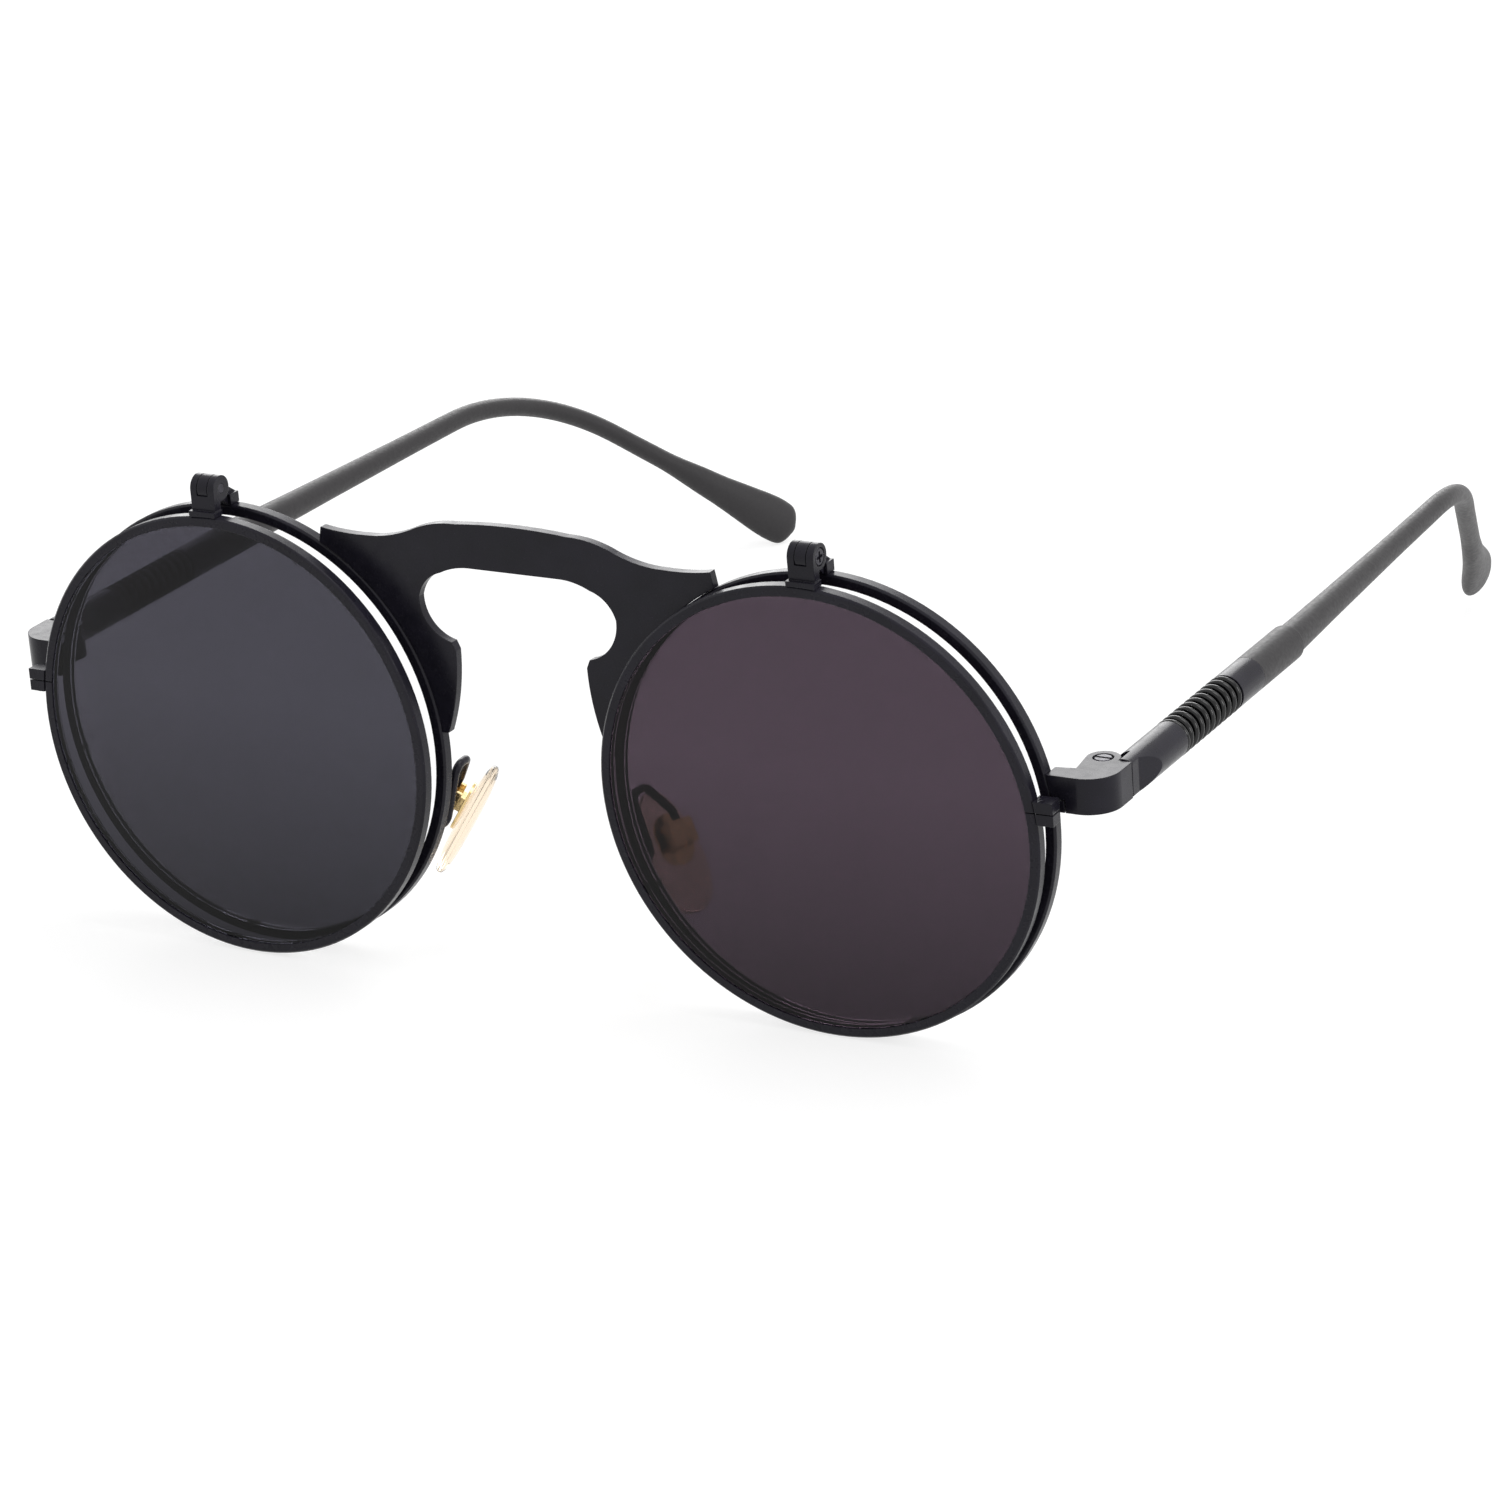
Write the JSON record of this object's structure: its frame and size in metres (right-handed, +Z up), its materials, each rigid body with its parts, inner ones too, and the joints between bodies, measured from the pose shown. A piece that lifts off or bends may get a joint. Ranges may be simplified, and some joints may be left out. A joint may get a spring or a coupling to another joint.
{
  "type": "flip-up sunglasses",
  "caption": "Round metal sunglasses with tinted lenses that flip up on small hinges from clear lenses, folding temples with a coil spring detail, and rocking nose pads.",
  "frame": {"origin": "on the floor under the middle of the glasses' box, with the glasses standing open on their rims and the right temple's tip", "axes": "+X to the wearer's left, +Y from the lenses back to the temple tips, +Z up"},
  "size_m": [0.1328, 0.1432, 0.0532],
  "materials": {
    "black_metal": "satin black coating",
    "black_screw": "satin black, slotted",
    "black_spring": "glossy black",
    "clear_lens": "clear, polished",
    "tinted_lens": "dark grey tint, polished",
    "soft_tip": "soft matte charcoal",
    "clear_pad": "clear, warm tone",
    "gold_fitting": "polished gold tone"
  },
  "bodies": {
    "front_frame": {"bridge": "black_metal", "left_rim": "black_metal", "left_clear_lens": "clear_lens", "left_end_piece": "black_metal", "left_temple_screw": "black_screw", "left_rim_lock": "black_metal", "left_rim_lock_screw": "black_screw", "left_flip_leaf": "black_metal", "left_pad_arm": "black_metal", "left_pad_box": "gold_fitting", "left_pad_screw": "gold_fitting", "right_rim": "black_metal", "right_clear_lens": "clear_lens", "right_end_piece": "black_metal", "right_temple_screw": "black_screw", "right_rim_lock": "black_metal", "right_rim_lock_screw": "black_screw", "right_flip_leaf": "black_metal", "right_pad_arm": "black_metal", "right_pad_box": "gold_fitting", "right_pad_screw": "gold_fitting"},
    "left_flip": {"left_flip_rim": "black_metal", "left_tinted_lens": "tinted_lens", "left_flip_bracket": "black_metal", "left_flip_lock_upper": "black_metal", "left_flip_lock_lower": "black_metal", "left_flip_lock_screw": "black_screw", "left_flip_hinge_screw": "black_screw"},
    "right_flip": {"right_flip_rim": "black_metal", "right_tinted_lens": "tinted_lens", "right_flip_bracket": "black_metal", "right_flip_lock_upper": "black_metal", "right_flip_lock_lower": "black_metal", "right_flip_lock_screw": "black_screw", "right_flip_hinge_screw": "black_screw"},
    "left_temple": {"left_temple_front": "black_metal", "left_temple_core": "black_metal", "left_temple_spring": "black_spring", "left_temple_sleeve": "black_metal", "left_temple_tip": "soft_tip"},
    "right_temple": {"right_temple_front": "black_metal", "right_temple_core": "black_metal", "right_temple_spring": "black_spring", "right_temple_sleeve": "black_metal", "right_temple_tip": "soft_tip"},
    "left_pad": {"left_nose_pad": "clear_pad", "left_pad_plate": "gold_fitting"},
    "right_pad": {"right_nose_pad": "clear_pad", "right_pad_plate": "gold_fitting"}
  },
  "joints": [
    {"name": "left_flip_hinge", "type": "hinge", "parent": "front_frame", "child": "left_flip", "pos_m": [0.03533, -0.06903, 0.05177], "axis": [-1, 0, 0], "range_deg": [0, 100]},
    {"name": "right_flip_hinge", "type": "hinge", "parent": "front_frame", "child": "right_flip", "pos_m": [-0.03533, -0.06903, 0.05177], "axis": [-1, 0, 0], "range_deg": [0, 100]},
    {"name": "left_temple_fold", "type": "hinge", "parent": "front_frame", "child": "left_temple", "pos_m": [0.0622, -0.06053, 0.029], "axis": [0, 0, 1], "range_deg": [0, 86]},
    {"name": "right_temple_fold", "type": "hinge", "parent": "front_frame", "child": "right_temple", "pos_m": [-0.0622, -0.06053, 0.029], "axis": [0, 0, -1], "range_deg": [0, 72]},
    {"name": "left_pad_rock", "type": "hinge", "parent": "front_frame", "child": "left_pad", "pos_m": [0.01375, -0.06102, 0.01664], "axis": [0.3524, 0.9356, -0.0202], "range_deg": [-8, 8]},
    {"name": "right_pad_rock", "type": "hinge", "parent": "front_frame", "child": "right_pad", "pos_m": [-0.01375, -0.06102, 0.01664], "axis": [-0.3524, 0.9356, -0.0202], "range_deg": [-8, 8]}
  ]
}
